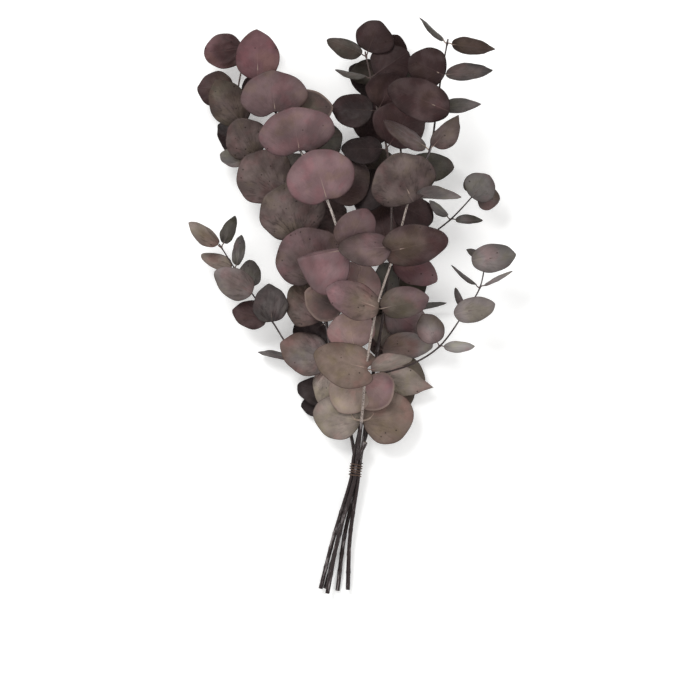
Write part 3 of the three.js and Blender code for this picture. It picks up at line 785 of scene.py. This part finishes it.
def relief(leaf, u, v, reach):
    """Veins, crinkles and small waves that a real blade has over its plain form."""
    t = np.clip(u / leaf.length, 0, 1)
    waves = sum(high * ripple(u, v, leaf.seed + seed, length) for high, length, seed in WAVES)
    stray = FAN_STRAY * ripple(u, v, leaf.seed + 9, FAN_STRAY_LENGTH)
    fan = 1 - 2 * np.abs(np.sin(FAN_RIDGES * np.arctan2(v, u + FAN_FROM) + stray))
    fan *= soft_step(t, 0.0, 0.14) * (1 - 0.8 * soft_step(t, 0.4, 0.85))
    veins = np.cos(2 * np.pi * (u - VEIN_SLANT * np.abs(v)) / VEIN_STEP)
    veins *= soft_step(np.abs(v), 0.5, 4)
    raised = (waves * (1 + CRINKLED_WAVES * leaf.crinkle) + FAN_HEIGHT * leaf.crinkle * fan
              + VEIN_HEIGHT * veins + RIM_HEIGHT * reach ** 10)
    return raised * (1 - RIB_EVEN * np.exp(-(v / RIB_HALF) ** 2))


def paint(leaf, u, v, reach):
    """The colour of a blade at each point: its first tone turns to its last one outwards."""
    tones = leaf.tone.split("/")
    first, last = np.array(linear(TONES[tones[0]])), np.array(linear(TONES[tones[-1]]))
    far = 0.65 * u / leaf.length + 0.35 * reach + 0.3 * ripple(u, v, leaf.seed + 3, 34)
    share = soft_step(far, 0.3, 0.85)[:, None]
    return first * (1 - share) + last * share


def pattern_place(leaf, u, v):
    """Where points lie in the pattern of the leaf skin, which is another one on each leaf."""
    return np.stack([u, v, np.full(len(u), leaf.seed * LEAF_SHIFT)], axis=1)


def add_blade(skin, leaf):
    """One blade as a thin closed shell of rings, from its middle out to its rim."""
    mesh = BIG_BLADE if leaf.length >= SMALL_LEAF else SMALL_BLADE
    rim_u, rim_v, middle = outline(leaf, mesh)
    reach = np.repeat((np.arange(1, mesh.rings + 1) / mesh.rings) ** RING_POWER, mesh.around)
    u = np.append(middle, middle + reach * (np.tile(rim_u, mesh.rings) - middle))
    v = np.append(0, reach * np.tile(rim_v, mesh.rings))
    reach = np.append(0, reach)
    size = np.append(leaf.width / 2, np.tile(np.hypot(rim_u - middle, rim_v), mesh.rings))
    thick = (BLADE_HALF * (1 - RIM_THINNER * reach ** 8))[:, None]
    points = on_blade(leaf, u, v, relief(leaf, u, v, reach))
    if leaf.lies:
        points[:, 2] = np.maximum(points[:, 2] - REST + BLADE_HALF, BLADE_HALF)
    shell = np.concatenate([points + thick * leaf.face, points - thick * leaf.face])

    half = len(u)
    steps = [(a, (a + 1) % mesh.around) for a in range(mesh.around)]
    faces = [(0, 1 + b, 1 + a) for a, b in steps]
    for low in range(1, half - mesh.around, mesh.around):
        high = low + mesh.around
        faces += [(low + a, low + b, high + b, high + a) for a, b in steps]
    faces += [tuple(half + index for index in reversed(face)) for face in faces]
    edge = half - mesh.around
    faces += [(edge + a, edge + b, half + edge + b, half + edge + a) for a, b in steps]
    skin.add(shell, faces, tone=np.tile(paint(leaf, u, v, reach), (2, 1)),
             place=np.tile(pattern_place(leaf, u, v), (2, 1)), share=np.tile(u / leaf.length, 2),
             rim=np.tile((1 - reach) * size, 2), under=np.repeat([0.0, 1.0], half),
             crinkle=leaf.crinkle, pale_rim=leaf.pale_rim)


def add_stalk(skin, leaf, colour):
    """A leaf's stalk, from inside the stem up to the blade, then on as its raised midrib."""
    start = leaf.back or leaf.notch
    end = HOOK_LENGTH if leaf.hook else leaf.length * RIB_LENGTH
    run = np.linspace(0, 1, RIB_RINGS)
    toward_tip = math.copysign(leaf.hook, leaf.side[1])
    rib = on_blade(leaf, start + (end - start) * run, toward_tip * run ** 2)
    if leaf.lies:
        rib[:, 2] -= REST - BLADE_HALF
    rise = np.linspace(0, 1, STALK_RINGS)[:, None]
    stalk = leaf.node + (rib[0] - leaf.node) * rise
    if not leaf.back:
        stalk -= STALK_SAG * np.sin(np.pi * rise) * leaf.face
    run = np.append(np.zeros(STALK_RINGS - 1), run)
    full, lost, power = HOOK_TAPER if leaf.hook else STALK_TAPER
    radius = STALK_THICK / 2 * (full - lost * run ** power)
    radius[:len(STALK_FOOT)] += STALK_THICK / 2 * np.array(STALK_FOOT)
    shell, faces = sweep(np.concatenate([stalk[:-1], rib]), radius, STALK_SIDES)

    along = np.append(np.repeat(run, STALK_SIDES), [0, 1])
    tone = np.array(linear(TONES[leaf.tone.split("/")[0]]))
    pale_to = leaf.pale_to or np.interp(tone[:3].mean(), STALK_TONES, STALK_REACHES)
    pale = STALK_PALE * (1 - soft_step(along, 0.02, pale_to))[:, None]
    skin.add(shell, faces, tone=np.array(linear(colour)) * pale + tone * (1 - pale),
             place=pattern_place(leaf, along * leaf.length, along * 0), share=0.5, rim=NO_RIM,
             under=0.0, crinkle=0.0, pale_rim=0.0)


def lit(colour, share):
    """A colour made lighter or darker by a share."""
    return put("VectorMath", {0: colour, "Scale": share}, operation="SCALE").outputs[0]


def tinted(colour, tint):
    """A colour with its red, green and blue each turned up or down."""
    return put("VectorMath", {0: colour, 1: tint}, operation="MULTIPLY").outputs[0]


# painted shade in the creases
CREASE_SHADE = (43, 33, 31)
VEIN = (138, 118, 108)
SPECK = (39, 28, 26)
WAX = (128, 120, 120)
UNDERSIDE = (108, 100, 95)
PALE_RIM = (148, 128, 119)
LEAF_BUMP = {"Strength": 0.75, "Distance": 0.0006}
LEAF_SHINE = 0.18


def leaf_group():
    """Dried leaf skin: blotches, mottling, painted shade towards the rim and base, creases with painted
    shade that fan out, pale veins, specks, a waxy bloom, and a thin dark rim that is partly painted
    shade.
    """
    tree, given, out = new_skin("leaf_skin", {
        "Tone": "Color", "Place": "Vector", "Share": "Float", "Rim": "Float", "Under": "Float",
        "Crinkle": "Float", "Pale rim": "Float", "Bloom": "Float", "Specks": "Float",
    })
    place, share, rim, crinkle = (given[key] for key in ("Place", "Share", "Rim", "Crinkle"))
    u, v, seed = put("SeparateXYZ", {0: place}).outputs
    side = maths("ABSOLUTE", v)

    # Light and dark blotches and mottling, painted shade towards the rim and the base, some redder or
    # greener
    blotch = speckle(place, 0.06, 3.0, 0.5)
    mottle = speckle(place, 0.33, 5.0, 0.62)
    grain = speckle(place, 2.2, 3.0)
    light = plus(times(blotch, 0.75), times(mottle, 0.25))
    light = fade(plus(light, times(grain, 0.12)), 0.42, 0.72, -1.0, 1.0)
    contrast = fade(crinkle, 0.0, 1.0, 0.15, 0.27)
    light = maths("MULTIPLY_ADD", light, contrast, 1.08)
    rim_shade = fade(rim, 0.0, 7.0, 0.78, 1.0)
    base_shade = fade(share, 0.02, 0.3, 0.82, 1.0)
    colour = lit(given["Tone"], times(light, times(rim_shade, base_shade)))
    elsewhere = put("VectorMath", {0: place, 1: (57.0, 91.0, 13.0)}, operation="ADD")
    warm = speckle(elsewhere.outputs[0], 0.055, 3.0)
    green, red = tinted(colour, (1.0, 1.02, 0.88)), tinted(colour, (1.1, 0.94, 0.96))
    colour = blend(fade(warm, 0.5, 0.68), colour, green)
    colour = blend(fade(warm, 0.5, 0.34), colour, red)

    # Painted shade in the creases that fan out from the base
    turn = maths("ARCTAN2", v, plus(u, 5.0))
    reach = maths("SQRT", plus(times(u, u), times(v, v)))
    fan_place = put("CombineXYZ", {0: times(turn, 7.0), 1: times(reach, 0.07), 2: seed})
    fan = speckle(fan_place.outputs[0], 1.5, 4.0, 0.6)
    spread = maths("MULTIPLY_ADD", crinkle, 0.75, 0.12)
    crease_shade = times(fade(fan, 0.5, 0.36), fade(share, 0.25, 0.85, 1.0, 0.35))
    crease_shade = times(crease_shade, times(spread, 0.65))
    colour = blend(crease_shade, colour, linear(CREASE_SHADE))

    # Pale side veins and a pale midrib
    pale = blend(0.25, lit(colour, 1.7), linear(VEIN))
    bent = plus(maths("SUBTRACT", u, times(side, VEIN_SLANT)), times(mottle, 3.0))
    side_vein = times(fade(maths("PINGPONG", bent, 3.6), 0.32, 0.0), fade(side, 0.6, 2.5))
    colour = blend(times(side_vein, 0.2), colour, pale)
    midrib = fade(side, 0.75, 0.15)
    rib = times(midrib, fade(share, 0.6, 0.05, 0.06, 0.35))
    colour = blend(rib, colour, pale)

    # Small dark specks, on a share of the cells of a pattern
    cells = put("TexVoronoi", {"Vector": place, "Scale": 0.22}).outputs
    chance = put("SeparateXYZ", {0: cells["Color"]}).outputs[0]
    speck = times(fade(cells["Distance"], 0.22, 0.1), maths("LESS_THAN", chance, given["Specks"]))
    colour = blend(times(speck, 0.75), colour, linear(SPECK))

    # A waxy bloom, and a greyer underside
    waxy = blend(0.3, lit(colour, 1.35), linear(WAX))
    film = times(fade(blotch, 0.42, 0.66), given["Bloom"])
    colour = blend(film, colour, waxy)
    colour = blend(times(given["Under"], 0.3), colour, linear(UNDERSIDE))

    # A thin dark rim, partly the blade's own darker edge and partly painted shade where it turns away,
    # and a wide pale one on some leaves
    edge = fade(plus(rim, times(mottle, 0.5)), 1.15, 0.25)
    colour = blend(times(edge, 0.7), colour, tinted(colour, (0.58, 0.5, 0.5)))
    wide = fade(plus(rim, times(mottle, 2.0)), 3.6, 1.2)
    colour = blend(times(wide, given["Pale rim"]), colour, linear(PALE_RIM))

    fine = plus(times(mottle, 0.35), times(grain, 0.1))
    veins = plus(times(side_vein, 0.22), times(midrib, 0.3))
    connect(out, {
        "Colour": colour,
        "Height": plus(times(fan, spread), plus(fine, veins)),
        "Roughness": fade(mottle, 0.3, 0.7, 0.5, 0.68),
    })
    return tree


LEAF_SKIN = leaf_group()


def leaf_piece(stem, rows, stalk, crinkle, bloom, specks):
    """All leaves of one stem as one piece, in place of the stem's node."""
    skin = Skin("tone", "place", "share", "rim", "under", "crinkle", "pale_rim")
    for leaf in grow(stem, rows):
        if leaf.crinkle is None:
            leaf.crinkle = crinkle * (0.75 + 0.25 * draw(leaf.seed + 0.7))
        add_blade(skin, leaf)
        add_stalk(skin, leaf, stalk)
    slot, finish = STEMS[stem]["slot"], {"Bloom": bloom, "Specks": specks}
    skin.piece(stem + "_leaves", stem,
               grown_material(slot, LEAF_SKIN, finish, LEAF_BUMP, LEAF_SHINE))


PALE_STALK = (150, 132, 121)
leaf_piece("right_front_stem", [
    [(170, -3, 0, 42, 40, "sand", {"back": 4, "under": True, "hook": 7, "pale_to": 2.0}),
     (16, -1, 0, 45, 48, "tan", {"back": 3, "under": True, "hook": 5, "pale_to": 2.0})],
    [(167, 12, 22, 56, 42, "tan", {"back": 11, "notch": 8}), (11, 4, 66, 36, 34, "sand")],
    [(159, 14, 22, 50, 34, "tan/pink", {"back": 5, "crinkle": 0.6}),
     (11, 10, 35, 42, 34, "olive/mauve")],
    [(182, 8, 30, 46, 34, "mauve/umber"),
     (12, 10, 22, 57, 38, "brown/maroon", {"back": 15, "notch": 7})],
    [(116, 18, 0, 46, 57, "umber/taupe", {"back": 9, "crinkle": 0.9}),
     (-2, 5, 74, 39, 34, "slate/ash")],
    [(148, 10, 62, 43, 34, "umber/maroon"), (48, 15, 40, 32, 25, "taupe", {"fold": 18, "tip": 3})],
    [(158, 14, 0, 58, 35, "maroon/wine", {"back": 14}), (3, -6, 40, 31, 16, "sage/slate", {"tip": 4})],
    [(155, 12, 0, 34, 36, "wine", {"back": 6}), (4, 5, 64, 38, 30, "taupe/lead", {"tip": 3})],
    [(139, 10, 70, 26, 18, "moss", {"tip": 3}), (-9, 5, 52, 34, 22, "brown", {"tip": 4})],
], stalk=PALE_STALK, crinkle=0.35, bloom=0.3, specks=0.14)

# The leaves of the left front stem
# These are the pinkest and smoothest ones, with hardly any crinkle, a soft waxy bloom and few
# specks; the ones near the tie turn beige towards their rims.
leaf_piece("left_front_stem", [
    [],
    [(230, -3, 0, 31, 38, "cream", {"pale_rim": 0.5}),
     (330, -11, 0, 30, 38, "rose/pink", {"pale_rim": 0.8})],
    [(100, 20, 0, 34, 42, "rose", {"back": 2})],
    [(72, 6, 0, 42, 46, "rose"), (148, -10, 10, 36, 34, "umber/beige", {"pale_rim": 0.45})],
    [(189, 4, 38, 45, 58, "pink/mauve", {"fold": -38, "right": 0.4, "back": 9}),
     (62, 8, 0, 40, 40, "mauve")],
    [(106, 16, 0, 48, 60, "pink", {"back": 5, "notch": 3, "pale_to": 2.0}),
     (42, -25, 0, 46, 40, "maroon/umber")],
    [(100, 28, 0, 45, 66, "mauve/pink", {"back": 7, "notch": 4}), (22, -30, 0, 42, 40, "sage")],
    [(95, 20, 0, 40, 58, "mauve", {"back": 7, "notch": 4}),
     (4, -8, 10, 46, 36, "olive/umber", {"pale_rim": 0.5})],
    [(91, 14, 0, 42, 38, "dusty_red", {"fold": 8, "tip": 2, "back": 8}),
     (280, -20, 0, 26, 26, "maroon")],
], stalk=PALE_STALK, crinkle=0.12, bloom=0.22, specks=0.06)

# The leaves of the left back stem and its side twig
# Grey-brown blades with the strongest crinkles and fans of fine veins, dark blotches and many
# specks, two of them bent down onto the surface. The twig's leaves are small and narrow, pale brown
# to dark grey.
leaf_piece("left_back_stem", [
    [(162, -4, 10, 38, 26, "black"), (188, -10, 9, 34, 28, "black")],
    [(159, 2, 9, 44, 39, "ash/beige"), (262, -5, 0, 36, 30, "sand")],
    [(134, 10, 0, 39, 42, "taupe/olive"), (212, -40, 0, 44, 36, "black", {"lies": True})],
    [(112, 12, 0, 49, 60, "umber/mauve", {"back": 9, "notch": 5}), (66, -14, 0, 46, 44, "olive")],
    [(103, 14, 0, 50, 58, "taupe", {"back": 10, "notch": 5}), (22, -10, 0, 44, 40, "umber")],
    [(130, 10, 0, 44, 51, "taupe", {"back": 5, "notch": 4}), (42, -20, 0, 44, 42, "lead")],
    [(118, 5, 0, 37, 38, "taupe"), (170, -12, 36, 30, 24, "olive/slate")],
    [(122, 8, 10, 44, 35, "umber/olive"), (225, -48, 0, 40, 36, "black", {"lies": True})],
    [(172, 2, 0, 31, 32, "brown/maroon"), (15, -12, 0, 32, 24, "wine")],
    [(188, 5, 0, 34, 31, "maroon/dusty_red"), (2, -12, 0, 20, 18, "wine")],
    [(165, 0, 72, 35, 20, "slate")],
    [(94, 5, 0, 33, 31, "lead", {"back": 5}), (165, 5, 0, 30, 25, "maroon")],
    [(150, 5, 0, 37, 27, "taupe/ash", {"back": 6}), (92, 5, 0, 23, 20, "slate/lead")],
    [(156, 5, 38, 30, 16, "tan/sand"), (78, 5, 30, 26, 16, "slate")],
    [(142, 5, 30, 31, 17, "tan/sand"), (66, 5, 38, 25, 15, "sage")],
], stalk=(104, 90, 84), crinkle=1.0, bloom=0.3, specks=0.25)

# The leaves of the right back stem and its side twig
# The darkest ones, from maroon to nearly black, with greyer blades low down and pale grey ones on the
# twig. They dried nearly flat, with a little crinkle and few specks.
leaf_piece("right_back_stem", [
    [(-11, 1, 10, 42, 28, "sand", {"tip": 8})],
    [(62, 0, 20, 34, 30, "sand"), (6, -2, 40, 44, 32, "beige/ash")],
    [(84, -16, 50, 36, 30, "sage"), (-42, -10, 0, 44, 34, "mauve/ash")],
    [(104, -20, 0, 46, 40, "maroon"), (-31, -4, 25, 42, 30, "dusty_red/pink")],
    [(152, -8, 0, 40, 40, "black"), (-27, -14, 0, 36, 34, "wine")],
    [(180, -4, 38, 35, 32, "black"), (58, 8, 0, 42, 52, "maroon")],
    [(175, -4, 18, 36, 32, "black/wine"), (62, 8, 0, 32, 40, "maroon/wine")],
    [(166, 0, 72, 27, 22, "sage"), (41, 6, 0, 35, 36, "wine")],
    [(155, 0, 45, 32, 24, "moss"), (68, 8, -9, 28, 36, "wine")],
    [],
    [(118, 5, 0, 27, 24, "ash/taupe"), (-2, 0, 52, 26, 16, "silver")],
    [(14, 5, 0, 36, 22, "ash", {"back": 13}), (112, 0, 50, 18, 10, "lead")],
    [(141, 0, 74, 27, 14, "lead"), (28, 0, 74, 27, 14, "ash")],
    [(8, 4, 0, 38, 25, "ash/slate", {"back": 16}), (152, 0, 40, 14, 9, "lead")],
], stalk=(86, 72, 69), crinkle=0.3, bloom=0.16, specks=0.12)

# The leaves of the centre back stem and its side twig
# Mostly hidden under the others: olive, dark green-grey and brown blades, two of them bent down so
# that the bunch rests on them.
leaf_piece("centre_back_stem", [
    [(34, 4, 0, 38, 32, "olive")],
    [(-28, 6, 0, 36, 34, "olive"), (80, 10, 0, 40, 34, "taupe")],
    [(4, 14, 80, 42, 18, "sage"), (205, -6, 0, 40, 38, "moss")],
    [(-80, -22, 0, 44, 38, "moss", {"lies": True}), (130, 10, 0, 42, 40, "wine")],
    [(-25, 12, 0, 22, 30, "wine"), (165, 14, 0, 42, 40, "lead")],
    [(0, 10, 0, 41, 26, "sage"), (185, 12, 0, 42, 38, "moss")],
    [(62, -34, 0, 42, 36, "wine", {"lies": True}), (150, 12, 0, 38, 36, "wine")],
    [(144, 8, 0, 41, 30, "black"), (72, 12, 0, 34, 32, "moss")],
    [(70, 8, 0, 27, 27, "wine"), (190, 4, 20, 27, 23, "moss")],
    [],
    [(137, 0, 50, 20, 13, "slate"), (-2, 0, 54, 23, 13, "slate/sage")],
    [(50, 5, 0, 24, 29, "slate", {"back": 5}), (-5, -12, 0, 20, 22, "taupe"),
     (100, -5, 0, 14, 13, "sage")],
], stalk=(84, 72, 67), crinkle=0.35, bloom=0.2, specks=0.15)

# The surface, the light and the camera
# A pale floor that gives off a little light, like a light table, so that the gaps between the leaves
# stay pale, and soft studio light from above. The camera looks straight down on the bunch through a
# long lens, with the stems towards the bottom of the picture.
WHITE = (1.0, 1.0, 1.0, 1.0)
FLOOR_HALF = 15
FLOOR_COLOUR = (250, 250, 249)
FLOOR_GLOW = 0.24
ROOM_LIGHT = 0.72  # from all round
SOFT_LIGHTS = {  # place, size and power
    "key": ((-0.9, 1.3, 2.0), 1.0, 28),
    "fill": ((1.4, -0.6, 2.0), 1.6, 6),
}
FIELD = 0.608  # width of the picture at the height of the upper leaves
FIELD_HEIGHT = 0.055
CAMERA_OVER = 4.0  # from that height up to the camera
PICTURE_MIDDLE = np.array((-3.04, -38.19))
FAR_END = 100  # the camera sees nothing past this

floor_mesh = bpy.data.meshes.new("floor")
corners = [(x * FLOOR_HALF, y * FLOOR_HALF, 0) for x, y in ((-1, -1), (1, -1), (1, 1), (-1, 1))]
floor_mesh.from_pydata(corners, [], [(0, 1, 2, 3)])
floor_material, floor_surface = new_material("pale_floor")
connect(floor_surface, {
    "Base Color": linear(FLOOR_COLOUR),
    "Roughness": 0.9,
    "Specular IOR Level": 0.1,
    "Emission Color": WHITE,
    "Emission Strength": FLOOR_GLOW,
})
floor_mesh.materials.append(floor_material)
floor = new_object("floor", floor_mesh)

world = bpy.data.worlds.new("studio")
world.use_nodes = True
connect(world.node_tree.nodes["Background"], {"Color": WHITE, "Strength": ROOM_LIGHT})
bpy.context.scene.world = world
bpy.context.scene.view_settings.view_transform = "Standard"

for name, (place, size, power) in SOFT_LIGHTS.items():
    lamp = bpy.data.lights.new(name, "AREA")
    lamp.shape = "DISK"
    lamp.size = size
    lamp.energy = power
    light = new_object(name, lamp)
    light.location = place
    light.rotation_mode = "QUATERNION"
    light.rotation_quaternion = (-Vector(place)).to_track_quat("-Z", "Y")

camera_data = bpy.data.cameras.new("camera")
camera_data.lens = camera_data.sensor_width * CAMERA_OVER / FIELD
camera_data.clip_end = FAR_END
camera = new_object("camera", camera_data)
camera.location = (*(PICTURE_MIDDLE + ORIGIN[:2]) * MM, FIELD_HEIGHT + CAMERA_OVER)
bpy.context.scene.camera = camera
